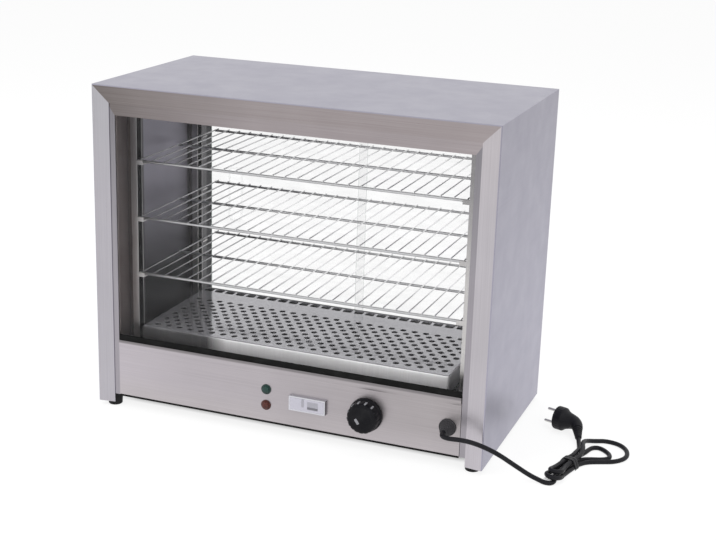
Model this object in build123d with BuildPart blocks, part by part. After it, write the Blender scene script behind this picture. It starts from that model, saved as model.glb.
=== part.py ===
"""Counter-top heated display case: folded sheet cabinet, glass front, wire shelves, sliding rear doors.

Millimetres, +Z up, the front faces -Y, Z = 0 is the table under the feet.
"""
import os
from math import radians, sin, tan

from build123d import *

os.makedirs("parts", exist_ok=True)

# Case
case_w = 635.0
case_d = 330.0
case_h = 508.0
skirt_gap = 8.0
sheet = 1.2
fold_r = 2.0
bezel_w = 27.0
bezel_set = 4.0
rear_flange = 20.0
liner_lap = 4.5
frame_lap = 12.0
wall_gap = 36.0
header_h = 45.0
round_sides = 24

# Glass and doors
glass_t = 4.0
glass_lap = 10.0
seal_h = 8.0
seal_w = 8.0
seal_web = 2.0
door_play = 0.5
door_seat = 0.3
door_overlap = 12.0
track_rib = 1.25
track_web = 1.5
lower_track_h = 8.0
upper_track_h = 14.0
door_bite = 8.0
pull_w = 28.0
pull_h = 96.0
pull_rim = 3.0
pull_lip = 0.8
pull_inset = 45.0
pull_corner = 5.0

# Base and control panel
base_z = 22.0
base_flange = 14.0
floor_z = 98.0
panel_top = 106.0
panel_return = 12.0
panel_gap = 0.4
plate_x = 42.0
plate_z = 62.0
plate_w = 60.0
plate_h = 24.0
plate_t = 6.0
plate_corner = 1.5
lamp_x = -27.0
green_z = 75.0
red_z = 49.5
lamp_r = 6.0
lamp_flange_r = 8.0
lamp_flange_t = 1.5
lamp_out = 6.0
lamp_tip_r = 5.0
lamp_tip = 1.2
lamp_neck = 12.0
holder_w = 18.0
holder_l = 8.0
fit_gap = 0.2

# Knob and thermostat
knob_x = 135.5
knob_z = 63.0
knob_d = 52.0
knob_h = 21.0
knob_gap = 0.8
knob_skirt = 4.0
knob_grip_d = 49.0
knob_flutes = 14
flute_r = 3.0
shaft_d = 6.0
shaft_fit = 0.05
shaft_grip = 14.0
shaft_deep = 12.0
thermostat_w = 42.0
thermostat_h = 36.0
thermostat_l = 30.0

# Shelves, posts and tray
post_w = 16.0
post_d = 16.0
post_front = 41.0
post_rear = 243.0
hook_w = 10.0
hook_t = 2.0
hook_lip = 5.0
shelf_front = 48.0
shelf_first = 117.0
shelf_rise = 90.0
shelf_gap = 2.0
shelf_seat = 0.2
rod_d = 5.0
wire_d = 3.5
wire_count = 27
tray_front = 47.0
tray_d = 218.0
tray_h = 29.0
tray_gap_left = 1.0
tray_gap_right = 18.0
hole_d = 9.0
hole_pitch = 41.0
hole_rows = 5
hole_front = 20.0
slot_l = 14.0
slot_w = 5.0
slot_rear = 8.0

# Heater
element_d = 8.0
element_z = 112.1
element_front = 95.0
element_gap = 90.0
element_inset = 45.0
element_drop = 18.0
clip_w = 14.0
clip_step = 150.0

# Feet and terminal block
foot_r = 12.0
foot_tip_r = 11.0
foot_inset = 19.0
foot_recess_r = 6.0
foot_recess = 12.0
terminal_inset = 75.0
terminal_l = 60.0
terminal_w = 20.0
terminal_h = 18.0

# Cord, hank and plug
cord_d = 7.0
gland_inset = 19.5
gland_z = 66.0
gland_flange_r = 13.0
gland_flange_t = 3.0
gland_r = 11.0
gland_tip_r = 5.5
gland_l = 21.0
gland_neck_r = 8.0
gland_neck = 12.0
gland_nut_r = 12.0
gland_nut_t = 5.0
hank_w = 26.0
hank_h = 15.0
hank_loop_h = 8.0
hank_corner = 4.0
tie_t = 1.6
tie_w = 12.0
tie_gap = 0.2
plug_r = 18.5
plug_back_r = 15.0
plug_rim = 14.0
plug_l = 20.0
plug_boot_r = 8.0
plug_bend_r = 14.0
plug_sleeve_r = 5.5
plug_sleeve = 12.0
pin_d = 4.6
pin_l = 19.0
pin_gap = 19.0

# Planes and levels that the pieces share
panel_out = knob_gap + knob_h - bezel_set
case_y = panel_out / 2
half_w = case_w / 2
front_y = case_y - case_d / 2
rear_y = case_y + case_d / 2
case_top = skirt_gap + case_h
panel_y = front_y + bezel_set
frame_y = panel_y + sheet
glass_y = frame_y + sheet
liner_y = glass_y + glass_t
liner_rear_y = rear_y - sheet
ceiling_z = case_top - header_h
liner_top = case_top - rear_flange + liner_lap
cavity_half = half_w - wall_gap
cavity_w = 2 * cavity_half
liner_half = half_w - rear_flange + liner_lap
base_top = base_z + sheet
panel_half = cavity_half - panel_gap
gland_x = cavity_half - gland_inset
terminal_x = cavity_half - terminal_inset
seal_y = glass_y + glass_t / 2 - seal_w / 2
ledge_y = seal_y + seal_w + 2.0


def cut_corners(width, height, corner):
    """Outline of a rectangle with its corners cut off."""
    x = width / 2
    y = height / 2
    quarter = [(x, y - corner), (x - corner, y)]
    half = quarter + [(-a, b) for a, b in reversed(quarter)]
    return half + [(-a, -b) for a, b in half]


def save(piece, name):
    """Label a finished piece and write its file."""
    piece.part.label = name
    export_step(piece.part, f"parts/{name}.step")


# Outer case: two side panels and a top panel, mitred along 45 degree planes
mitre_left = Plane((-half_w, 0, case_top), z_dir=(1, 0, 1))
mitre_right = Plane((half_w, 0, case_top), z_dir=(-1, 0, 1))

with BuildPart() as left_side_panel:
    with BuildSketch(Plane.XY.offset(skirt_gap)):
        with BuildLine():
            FilletPolyline(
                (-half_w + rear_flange, rear_y),
                (-half_w, rear_y),
                (-half_w, front_y),
                (-half_w + bezel_w, panel_y),
                radius=fold_r,
            )
            offset(amount=sheet, side=Side.LEFT)
        make_face()
    extrude(amount=case_h)
    split(bisect_by=mitre_left, keep=Keep.BOTTOM)
save(left_side_panel, "left_side_panel")

with BuildPart() as right_side_panel:
    mirror(left_side_panel.part, about=Plane.YZ)
save(right_side_panel, "right_side_panel")

with BuildPart() as top_panel:
    with BuildSketch(Plane.YZ.offset(-half_w)):
        with BuildLine():
            FilletPolyline(
                (rear_y, case_top - rear_flange),
                (rear_y, case_top),
                (front_y, case_top),
                (panel_y, case_top - bezel_w),
                radius=fold_r,
            )
            offset(amount=sheet, side=Side.LEFT)
        make_face()
    extrude(amount=case_w)
    split(bisect_by=mitre_left, keep=Keep.TOP)
    split(bisect_by=mitre_right, keep=Keep.TOP)
save(top_panel, "top_panel")

# Lip frame behind the bezels, open at the bottom for the control panel and the feet
frame_half = half_w - bezel_w + frame_lap
frame_top = case_top - bezel_w + frame_lap

with BuildPart() as lip_frame:
    with BuildSketch(Plane.XZ.offset(-glass_y)):
        with Locations((0, (base_z + frame_top) / 2)):
            Rectangle(2 * frame_half, frame_top - base_z)
        with Locations((0, (base_z + ceiling_z) / 2)):
            Rectangle(cavity_w, ceiling_z - base_z, mode=Mode.SUBTRACT)
    extrude(amount=sheet)
save(lip_frame, "lip_frame")

# Cavity liner: walls with front and rear flanges, ceiling between them
with BuildPart() as left_inner_wall:
    with BuildSketch(Plane.XY.offset(base_top)):
        with BuildLine():
            FilletPolyline(
                (-liner_half, liner_y),
                (-cavity_half, liner_y),
                (-cavity_half, liner_rear_y),
                (-liner_half, liner_rear_y),
                radius=fold_r,
            )
            offset(amount=sheet, side=Side.LEFT)
        make_face()
    extrude(amount=liner_top - base_top)
save(left_inner_wall, "left_inner_wall")

with BuildPart() as right_inner_wall:
    mirror(left_inner_wall.part, about=Plane.YZ)
save(right_inner_wall, "right_inner_wall")

with BuildPart() as ceiling_panel:
    with BuildSketch(Plane.YZ.offset(-cavity_half)):
        with BuildLine():
            FilletPolyline(
                (liner_y, liner_top),
                (liner_y, ceiling_z),
                (liner_rear_y, ceiling_z),
                (liner_rear_y, liner_top),
                radius=fold_r,
            )
            offset(amount=sheet, side=Side.LEFT)
        make_face()
    extrude(amount=cavity_w)
save(ceiling_panel, "ceiling_panel")

# Base plate with upturned sides
foot_x = half_w - foot_inset
foot_y = case_d / 2 - foot_inset
foot_spots = [(i * foot_x, case_y + j * foot_y) for i in (-1, 1) for j in (-1, 1)]

with BuildPart() as base_plate:
    with BuildSketch(Plane.XZ.offset(-liner_rear_y + fold_r)):
        with BuildLine():
            Polyline(
                (-half_w + sheet, base_z + base_flange),
                (-half_w + sheet, base_z),
                (half_w - sheet, base_z),
                (half_w - sheet, base_z + base_flange),
            )
            offset(amount=sheet, side=Side.LEFT, kind=Kind.INTERSECTION)
        make_face()
    extrude(amount=liner_rear_y - fold_r - glass_y)
save(base_plate, "base_plate")

# Cavity floor, with two holes for the heater's ends
tray_left = -cavity_half + post_w + tray_gap_left
tray_right = cavity_half - post_w - tray_gap_right
tray_y = front_y + tray_front
element_y = front_y + element_front
element_left = tray_left + element_inset
element_right = tray_right - element_inset

with BuildPart() as cavity_floor:
    with BuildSketch(Plane.YZ.offset(-cavity_half)):
        with BuildLine():
            Polyline(
                (ledge_y, panel_top),
                (ledge_y, floor_z - sheet),
                (liner_rear_y, floor_z - sheet),
            )
            offset(amount=sheet, side=Side.LEFT, kind=Kind.INTERSECTION)
        make_face()
    extrude(amount=cavity_w)
    with BuildSketch(Plane.XY.offset(floor_z - sheet)):
        with Locations((element_left, element_y), (element_left, element_y + element_gap)):
            RegularPolygon(element_d / 2 + fit_gap, 6)
    extrude(amount=sheet, mode=Mode.SUBTRACT)
save(cavity_floor, "cavity_floor")

# Control panel, folded back at top and bottom, pierced for lamps, knob shaft and cord
with BuildPart() as control_panel:
    with BuildSketch(Plane.YZ.offset(-panel_half)):
        with BuildLine():
            FilletPolyline(
                (ledge_y, panel_top),
                (panel_y, panel_top),
                (panel_y, base_z - sheet),
                (panel_y + panel_return, base_z - sheet),
                radius=fold_r,
            )
            offset(amount=sheet, side=Side.LEFT)
        make_face()
    extrude(amount=2 * panel_half)
    with BuildSketch(Plane.XZ.offset(-panel_y - sheet)):
        with Locations((lamp_x, green_z), (lamp_x, red_z)):
            RegularPolygon(lamp_r + fit_gap, round_sides)
        with Locations((knob_x, knob_z)):
            RegularPolygon(shaft_d / 2 + 1.0, round_sides)
        with Locations((gland_x, gland_z)):
            RegularPolygon(gland_neck_r + fit_gap, round_sides)
    extrude(amount=sheet, mode=Mode.SUBTRACT)
save(control_panel, "control_panel")

with BuildPart() as rear_lower_panel:
    with BuildSketch(Plane.XZ.offset(-rear_y)):
        with Locations((0, (skirt_gap + floor_z) / 2)):
            Rectangle(2 * (half_w - rear_flange) - 1.0, floor_z - skirt_gap)
    extrude(amount=sheet)
save(rear_lower_panel, "rear_lower_panel")

# Front glass between the lip frame and the liner flanges, standing in a rubber channel
glass_bottom = panel_top + seal_web
glass_top = ceiling_z + glass_lap

with BuildPart() as front_glass:
    with BuildSketch(Plane.XZ.offset(-liner_y)):
        with Locations((0, (glass_bottom + glass_top) / 2)):
            Rectangle(cavity_w + 2 * glass_lap, glass_top - glass_bottom)
    extrude(amount=glass_t)
save(front_glass, "front_glass")

with BuildPart() as glass_seal:
    with BuildSketch(Plane.YZ.offset(-panel_half)):
        with Locations((seal_y + seal_w / 2, panel_top + seal_h / 2)):
            Rectangle(seal_w, seal_h)
        with Locations((glass_y + glass_t / 2, glass_bottom + seal_h / 2)):
            Rectangle(glass_t, seal_h, mode=Mode.SUBTRACT)
    extrude(amount=2 * panel_half)
save(glass_seal, "glass_seal")

# Door tracks: two grooves each, the rear groove takes the left door
groove = glass_t + 2 * door_play
track_d = 3 * track_rib + 2 * groove
track_y = liner_rear_y - track_d
inner_door_y = track_y + track_rib + groove / 2
outer_door_y = inner_door_y + groove + track_rib

with BuildPart() as lower_door_track:
    with BuildSketch(Plane.YZ.offset(-cavity_half)):
        with Locations((track_y + track_d / 2, floor_z + lower_track_h / 2)):
            Rectangle(track_d, lower_track_h)
        with Locations(
            (inner_door_y, floor_z + track_web + lower_track_h / 2),
            (outer_door_y, floor_z + track_web + lower_track_h / 2),
        ):
            Rectangle(groove, lower_track_h, mode=Mode.SUBTRACT)
    extrude(amount=cavity_w)
save(lower_door_track, "lower_door_track")

with BuildPart() as upper_door_track:
    with BuildSketch(Plane.YZ.offset(-cavity_half)):
        with Locations((track_y + track_d / 2, ceiling_z - upper_track_h / 2)):
            Rectangle(track_d, upper_track_h)
        with Locations(
            (inner_door_y, ceiling_z - track_web - upper_track_h / 2),
            (outer_door_y, ceiling_z - track_web - upper_track_h / 2),
        ):
            Rectangle(groove, upper_track_h, mode=Mode.SUBTRACT)
    extrude(amount=cavity_w)
save(upper_door_track, "upper_door_track")

# Sliding doors with a finger pull let into each
door_bottom = floor_z + track_web + door_seat
door_top = ceiling_z - upper_track_h + door_bite
door_w = cavity_half - door_play + door_overlap / 2
door_mid_z = (door_bottom + door_top) / 2


def make_door(name, side, door_y):
    """Glass pane and finger pull of the door on one side, -1 left or 1 right."""
    middle_x = side * (cavity_half - door_play - door_w / 2)
    pull_x = side * (cavity_half - door_play - pull_inset)
    inner_w = pull_w - 2 * pull_rim
    inner_h = pull_h - 2 * pull_rim
    with BuildPart() as pane:
        with BuildSketch(Plane.XZ.offset(-door_y - glass_t / 2)):
            with Locations((middle_x, door_mid_z)):
                Rectangle(door_w, door_top - door_bottom)
            with Locations((pull_x, door_mid_z)):
                Polygon(*cut_corners(inner_w, inner_h, pull_corner), mode=Mode.SUBTRACT)
        extrude(amount=glass_t)
    save(pane, name + "_glass")
    with BuildPart() as pull:
        with BuildSketch(Plane.XZ.offset(-door_y - glass_t / 2)):
            with Locations((pull_x, door_mid_z)):
                Polygon(*cut_corners(inner_w, inner_h, pull_corner))
        extrude(amount=glass_t)
        with BuildSketch(Plane.XZ.offset(-door_y - glass_t / 2 - pull_lip)):
            with Locations((pull_x, door_mid_z)):
                Polygon(*cut_corners(pull_w, pull_h, pull_corner))
        extrude(amount=pull_lip)
        with BuildSketch(Plane.XZ.offset(-door_y - glass_t / 2 - pull_lip)):
            with Locations((pull_x, door_mid_z)):
                Polygon(*cut_corners(inner_w - pull_rim, inner_h - pull_rim, pull_corner))
        extrude(amount=glass_t + pull_lip - 1.2, mode=Mode.SUBTRACT)
    save(pull, name + "_pull")


make_door("left_door", -1, outer_door_y)
make_door("right_door", 1, inner_door_y)

# Uprights: channels on the walls, open to the shelves, with a hook under each shelf
shelf_levels = [floor_z + shelf_first + i * shelf_rise for i in range(3)]
shelf_y = front_y + shelf_front


def make_post(name, side, post_y, seat, lip):
    """One upright; seat is the height of its hooks above the shelf rods' centres, lip their upturn."""
    with BuildPart() as post:
        with BuildSketch(Plane.XY.offset(floor_z)):
            with Locations((side * (cavity_half - post_w / 2), post_y + post_d / 2)):
                Rectangle(post_w, post_d)
            with Locations((side * (cavity_half - post_w / 2 - sheet), post_y + post_d / 2)):
                Rectangle(post_w, post_d - 2 * sheet, mode=Mode.SUBTRACT)
        extrude(amount=ceiling_z - floor_z)
        for level in shelf_levels:
            hook_x = side * (cavity_half - post_w - hook_w / 2)
            with BuildSketch(Plane.XY.offset(level + seat - hook_t)):
                with Locations((hook_x, post_y + post_d / 2)):
                    Rectangle(hook_w, post_d)
            extrude(amount=hook_t)
            if lip:
                with BuildSketch(Plane.XY.offset(level + seat)):
                    with Locations((hook_x, post_y + sheet / 2)):
                        Rectangle(hook_w, sheet)
                extrude(amount=lip)
    save(post, name)


rod_seat = -rod_d / 2 - shelf_seat
wire_seat = rod_d / 2 - shelf_seat
make_post("front_left_upright", -1, front_y + post_front, rod_seat, hook_lip)
make_post("front_right_upright", 1, front_y + post_front, rod_seat, hook_lip)
make_post("rear_left_upright", -1, front_y + post_rear, wire_seat, 0)
make_post("rear_right_upright", 1, front_y + post_rear, wire_seat, 0)

# Wire shelves: three rods along X, wires welded on top of them along Y
shelf_half = cavity_half - post_w - shelf_gap
shelf_back = track_y - shelf_gap - rod_d / 2
shelf_d = shelf_back - shelf_y + rod_d
wire_pitch = (2 * shelf_half - rod_d) / (wire_count - 1)


def make_shelf(name, level):
    """One welded shelf; its rods and wires have flat sides, which lie on each other."""
    with BuildPart() as shelf:
        with BuildSketch(Plane.YZ.offset(-shelf_half)):
            with Locations(
                (shelf_y, level),
                ((shelf_y + shelf_back) / 2, level),
                (shelf_back, level),
            ):
                RegularPolygon(rod_d / 2, 8, major_radius=False, rotation=22.5)
        extrude(amount=2 * shelf_half)
        with BuildSketch(Plane.XZ.offset(-shelf_back - rod_d / 2)):
            with Locations((0, level + rod_d / 2 + wire_d / 2)):
                with GridLocations(wire_pitch, 1, wire_count, 1):
                    RegularPolygon(wire_d / 2, 4, major_radius=False, rotation=45)
        extrude(amount=shelf_d)
    save(shelf, name)


make_shelf("lower_wire_shelf", shelf_levels[0])
make_shelf("middle_wire_shelf", shelf_levels[1])
make_shelf("upper_wire_shelf", shelf_levels[2])

# Perforated tray over the heater, standing on the cavity floor
tray_w = tray_right - tray_left
tray_x = (tray_left + tray_right) / 2
tray_top = floor_z + tray_h
row_step = hole_pitch * sin(radians(60))
hole_count = int((tray_w - hole_d - 6.0) / hole_pitch) + 1
slot_count = hole_count - 1

with BuildPart() as floor_tray:
    with BuildSketch(Plane.XY.offset(floor_z)):
        with Locations((tray_x, tray_y + tray_d / 2)):
            Rectangle(tray_w, tray_d)
    extrude(amount=tray_h)
    with BuildSketch(Plane.XY.offset(floor_z)):
        with Locations((tray_x, tray_y + tray_d / 2)):
            Rectangle(tray_w - 2 * sheet, tray_d - 2 * sheet)
    extrude(amount=tray_h - sheet, mode=Mode.SUBTRACT)
    with BuildSketch(Plane.XY.offset(tray_top)):
        for row in range(hole_rows):
            with Locations((tray_x, tray_y + hole_front + row * row_step)):
                with GridLocations(hole_pitch, 1, hole_count - row % 2, 1):
                    RegularPolygon(hole_d / 2, 6)
        with Locations((tray_x, tray_y + tray_d - slot_rear)):
            with GridLocations(hole_pitch, 1, slot_count, 1):
                Rectangle(slot_l, slot_w)
    extrude(amount=-sheet, mode=Mode.SUBTRACT)
save(floor_tray, "floor_tray")

# Heating element: one hairpin with both ends turned down through the floor
with BuildPart() as heating_element:
    with BuildLine() as element_path:
        FilletPolyline(
            (element_left, element_y, floor_z - element_drop),
            (element_left, element_y, element_z),
            (element_right, element_y, element_z),
            (element_right, element_y + element_gap, element_z),
            (element_left, element_y + element_gap, element_z),
            (element_left, element_y + element_gap, floor_z - element_drop),
            radius=1.4 * element_d,
        )
    with BuildSketch(Plane((element_left, element_y, floor_z - element_drop), z_dir=(0, 0, 1))):
        RegularPolygon(element_d / 2, 6)
    sweep(path=element_path.line)
save(heating_element, "heating_element")

clip_top = element_z - element_d / 2 - 0.1
clip_mid_x = (element_left + element_right) / 2
clip_d = element_gap + 3 * element_d

with BuildPart() as element_supports:
    for step in (-1, 0, 1):
        with BuildSketch(Plane.YZ.offset(clip_mid_x + step * clip_step - clip_w / 2)):
            with Locations((element_y + element_gap / 2, (floor_z + clip_top) / 2)):
                Rectangle(clip_d, clip_top - floor_z)
            with Locations((element_y + element_gap / 2, (floor_z + clip_top) / 2 - sheet)):
                Rectangle(clip_d - 2 * sheet, clip_top - floor_z, mode=Mode.SUBTRACT)
        extrude(amount=clip_w)
save(element_supports, "element_supports")

# Lamps: coloured lens with flange and neck, held by a block behind the panel
def make_lamp(name, height):
    """One lamp lens at the given height."""
    with BuildPart() as lamp:
        with BuildSketch(Plane.XZ.offset(-panel_y)):
            with Locations((lamp_x, height)):
                RegularPolygon(lamp_flange_r, round_sides)
        extrude(amount=lamp_flange_t)
        with BuildSketch(Plane.XZ.offset(-panel_y + lamp_flange_t)):
            with Locations((lamp_x, height)):
                RegularPolygon(lamp_r, round_sides)
        extrude(amount=lamp_out - lamp_flange_t - lamp_tip)
        with BuildSketch(Plane.XZ.offset(-panel_y + lamp_out - lamp_tip)):
            with Locations((lamp_x, height)):
                RegularPolygon(lamp_tip_r, round_sides)
        extrude(amount=lamp_tip)
        with BuildSketch(Plane.XZ.offset(-panel_y)):
            with Locations((lamp_x, height)):
                RegularPolygon(lamp_r, round_sides)
        extrude(amount=-lamp_neck)
    save(lamp, name)


make_lamp("green_lamp", green_z)
make_lamp("red_lamp", red_z)

with BuildPart() as lamp_holders:
    with BuildSketch(Plane.XZ.offset(-frame_y)):
        with Locations((lamp_x, green_z), (lamp_x, red_z)):
            Rectangle(holder_w, holder_w)
            RegularPolygon(lamp_r + fit_gap, round_sides, mode=Mode.SUBTRACT)
    extrude(amount=-holder_l)
save(lamp_holders, "lamp_holders")

with BuildPart() as name_plate:
    with BuildSketch(Plane.XZ.offset(-panel_y)):
        with Locations((plate_x, plate_z)):
            Polygon(*cut_corners(plate_w, plate_h, plate_corner))
    extrude(amount=plate_t)
save(name_plate, "name_plate")

# Thermostat behind the panel, its shaft and the fluted knob
with BuildPart() as thermostat_body:
    with BuildSketch(Plane.XZ.offset(-frame_y)):
        with Locations((knob_x, knob_z)):
            Rectangle(thermostat_w, thermostat_h)
    extrude(amount=-thermostat_l)
    with BuildSketch(Plane.XZ.offset(-frame_y)):
        with Locations((knob_x, knob_z)):
            Circle(shaft_d / 2 + shaft_fit)
    extrude(amount=-shaft_deep - 1.0, mode=Mode.SUBTRACT)
save(thermostat_body, "thermostat_body")

knob_back = panel_y - knob_gap

with BuildPart() as thermostat_shaft:
    with BuildSketch(Plane.XZ.offset(-frame_y - shaft_deep)):
        with Locations((knob_x, knob_z)):
            Circle(shaft_d / 2)
    extrude(amount=frame_y + shaft_deep - knob_back + shaft_grip)
save(thermostat_shaft, "thermostat_shaft")

with BuildPart() as thermostat_knob:
    with BuildSketch(Plane.XZ.offset(-knob_back)):
        with Locations((knob_x, knob_z)):
            RegularPolygon(knob_d / 2, 4 * round_sides // 3)
    extrude(amount=knob_skirt)
    with BuildSketch(Plane.XZ.offset(-knob_back)):
        with Locations((knob_x, knob_z)):
            RegularPolygon(knob_grip_d / 2, 4 * round_sides // 3)
    extrude(amount=knob_h)
    with BuildSketch(Plane.XZ.offset(-knob_back + knob_skirt)):
        with Locations((knob_x, knob_z)):
            with PolarLocations(knob_grip_d / 2 + flute_r / 2, knob_flutes):
                RegularPolygon(flute_r, 8)
    extrude(amount=knob_h, mode=Mode.SUBTRACT)
    with BuildSketch(Plane.XZ.offset(-knob_back)):
        with Locations((knob_x, knob_z)):
            Circle(shaft_d / 2 + shaft_fit)
    extrude(amount=shaft_grip + 0.5, mode=Mode.SUBTRACT)
save(thermostat_knob, "thermostat_knob")

# Feet, wider at the top, with a recess for the screw
with BuildPart() as feet:
    for spot in foot_spots:
        with BuildSketch(Plane.XY):
            with Locations(spot):
                RegularPolygon(foot_tip_r, round_sides)
        with BuildSketch(Plane.XY.offset(base_z)):
            with Locations(spot):
                RegularPolygon(foot_r, round_sides)
        loft(ruled=True)
    with BuildSketch(Plane.XY):
        with Locations(*foot_spots):
            RegularPolygon(foot_recess_r, round_sides // 2)
    extrude(amount=foot_recess, mode=Mode.SUBTRACT)
save(feet, "feet")

with BuildPart() as terminal_block:
    with Locations((terminal_x, case_y, base_top)):
        Box(terminal_l, terminal_w, terminal_h, align=(Align.CENTER, Align.CENTER, Align.MIN))
    with BuildSketch(Plane.XY.offset(base_top + terminal_h)):
        with Locations((terminal_x, case_y)):
            with GridLocations(terminal_l / 4, 1, 3, 1):
                Rectangle(terminal_l / 5, terminal_w / 2)
    extrude(amount=-terminal_h / 3, mode=Mode.SUBTRACT)
save(terminal_block, "terminal_block")

# Cord gland: neck through the panel, flange and a boot that narrows in three steps; the nut behind the panel
boot_step = (gland_l - gland_flange_t) / 3
gland_rings = [
    (gland_neck_r, -gland_neck, gland_neck),
    (gland_flange_r, 0, gland_flange_t),
    (gland_r, gland_flange_t, boot_step),
    ((gland_r + gland_tip_r) / 2, gland_flange_t + boot_step, boot_step),
    (gland_tip_r, gland_flange_t + 2 * boot_step, boot_step),
]

with BuildPart() as cord_gland:
    for radius, start, length in gland_rings:
        with BuildSketch(Plane.XZ.offset(-panel_y + start)):
            with Locations((gland_x, gland_z)):
                RegularPolygon(radius, round_sides)
        extrude(amount=length)
save(cord_gland, "cord_gland")

with BuildPart() as gland_nut:
    with BuildSketch(Plane.XZ.offset(-frame_y)):
        with Locations((gland_x, gland_z)):
            RegularPolygon(gland_nut_r, 6)
            RegularPolygon(gland_neck_r + fit_gap, round_sides, mode=Mode.SUBTRACT)
    extrude(amount=-gland_nut_t)
save(gland_nut, "gland_nut")

# Cord from the boot to the hank; its bend at the boot is as tight as the photograph shows it
boot_tip_y = panel_y - gland_l
lay_z = cord_d / 2 + 0.1


def beside(right, back, height):
    """A point beside the case, counted from the boot's tip to the right and back."""
    return (gland_x + right, boot_tip_y + back, height)


hank_front = beside(148.2, 35.0, 0)
hank_back = beside(169.6, 120.3, 0)
plug_face = beside(114.0, 237.1, plug_r + 0.1)
plug_elbow = beside(148.0, 228.0, plug_r - 1.5)
plug_exit = beside(158.7, 193.4, 8.0)
plug_dir = Vector(-16.3, 4.8, 0).normalized()
boot_dir = (Vector(*plug_exit) - Vector(*plug_elbow)).normalized()
pin_dir = (0.21, 0.45, 0.87)

cord_points = [
    beside(0.0, 0.0, gland_z),
    beside(0.0, -8.5, gland_z),
    beside(5.0, -15.5, gland_z),
    beside(14.0, -17.5, gland_z - 0.2),
    beside(25.0, -13.5, gland_z - 1.0),
    beside(40.0, -6.5, gland_z - 4.0),
    beside(58.0, 1.5, gland_z - 11.0),
    beside(79.0, 10.5, gland_z - 22.5),
    beside(102.0, 20.0, gland_z - 39.5),
    beside(120.0, 28.0, gland_z - 53.0),
    beside(134.0, 33.2, lay_z + 1.6),
    beside(145.5, 35.3, lay_z + 1.0),
]
tail_points = [
    plug_exit,
    tuple(Vector(*plug_exit) + boot_dir * 11.0),
    beside(164.0, 172.2, lay_z + 0.3),
    beside(164.5, 162.5, lay_z),
    beside(164.5, 152.0, lay_z),
]


def make_cord(name, points):
    """Tube of straight runs and the largest tangent arcs that the runs allow."""
    spots = [Vector(*point) for point in points]
    runs = [b - a for a, b in zip(spots, spots[1:])]
    radii = []
    for before, after in zip(runs, runs[1:]):
        half_turn = radians(before.get_angle(after) / 2)
        radii.append(0.45 * min(before.length, after.length) / tan(half_turn))
    with BuildPart() as tube:
        with BuildLine() as path:
            FilletPolyline(*points, radius=radii)
        with BuildSketch(Plane(points[0], z_dir=runs[0])) as section:
            RegularPolygon(cord_d / 2, round_sides // 4)
        sweep(path=path.line)
    save(tube, name)
    length = path.wire().length
    ratio = tube.part.volume / (section.sketch.area * length)
    print(name, "length", round(length), "volume ratio", round(ratio, 4))
    print(name, "radii", [round(radius) for radius in radii])


make_cord("power_cord", cord_points)
make_cord("cord_tail", tail_points)

# Hank: the tied bundle and the loops that fan out behind it, as one outer shape
hank_run = Vector(*hank_back) - Vector(*hank_front)
bundle = Plane(hank_back, x_dir=hank_run.cross(Vector(0, 0, 1)), z_dir=-hank_run)
loop_outline = [
    beside(182.0, 114.0, 0),
    beside(200.0, 131.0, 0),
    beside(228.0, 143.0, 0),
    beside(239.0, 154.0, 0),
    beside(243.0, 170.0, 0),
    beside(237.0, 194.0, 0),
    beside(228.0, 209.0, 0),
    beside(215.0, 217.0, 0),
    beside(201.0, 216.0, 0),
    beside(188.0, 210.0, 0),
    beside(176.0, 196.0, 0),
    beside(171.0, 174.0, 0),
    beside(169.0, 152.0, 0),
    beside(160.0, 152.0, 0),
    beside(159.5, 118.0, 0),
]

with BuildPart() as cord_hank:
    with BuildSketch(bundle):
        with Locations((0, hank_h / 2)):
            Polygon(*cut_corners(hank_w, hank_h, hank_corner))
    extrude(amount=hank_run.length)
    with BuildSketch(Plane.XY):
        with BuildLine():
            Polyline(*loop_outline, close=True)
        make_face()
    extrude(amount=hank_loop_h)
save(cord_hank, "cord_hank")

with BuildPart() as cord_tie:
    with BuildSketch(bundle.offset(hank_run.length / 5)):
        with Locations((0, (hank_h + tie_gap + tie_t) / 2)):
            Rectangle(hank_w + 2 * (tie_gap + tie_t), hank_h + tie_gap + tie_t)
        with Locations((0, (hank_h + tie_gap) / 2)):
            Rectangle(hank_w + 2 * tie_gap, hank_h + tie_gap, mode=Mode.SUBTRACT)
    extrude(amount=tie_w)
save(cord_tie, "cord_tie")

# Angled plug lying on its rim: round head, boot bent towards the cord, two round pins
plug_axis = Plane(plug_face, x_dir=pin_dir, z_dir=plug_dir)
plug_neck = tuple(Vector(*plug_face) - plug_dir * plug_rim)
sleeve_plane = Plane(plug_exit, z_dir=-boot_dir)

with BuildPart() as plug_body:
    with BuildSketch(plug_axis):
        RegularPolygon(plug_r, round_sides)
    extrude(amount=-plug_rim)
    with BuildSketch(plug_axis.offset(-plug_rim)):
        RegularPolygon(plug_back_r, round_sides)
    extrude(amount=plug_rim - plug_l)
    with BuildLine() as boot_path:
        FilletPolyline(
            plug_neck,
            plug_elbow,
            tuple(Vector(*plug_exit) - boot_dir * plug_sleeve),
            radius=plug_bend_r,
        )
    with BuildSketch(Plane(plug_neck, z_dir=Vector(*plug_elbow) - Vector(*plug_neck))):
        RegularPolygon(plug_boot_r, round_sides // 3)
    sweep(path=boot_path.line)
    with BuildSketch(sleeve_plane):
        RegularPolygon(plug_sleeve_r, round_sides // 3)
    extrude(amount=plug_sleeve + 1.0)
save(plug_body, "plug_body")

with BuildPart() as plug_pins:
    with BuildSketch(plug_axis):
        with GridLocations(pin_gap, 1, 2, 1):
            RegularPolygon(pin_d / 2, round_sides // 2)
    extrude(amount=pin_l)
save(plug_pins, "plug_pins")
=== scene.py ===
"""Looks of the counter-top heated display case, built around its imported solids.

Metres, +Z up, the glass front faces -Y, Z = 0 is the table.
"""
import math

import bmesh
import bpy
from mathutils import Matrix, Vector


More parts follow.
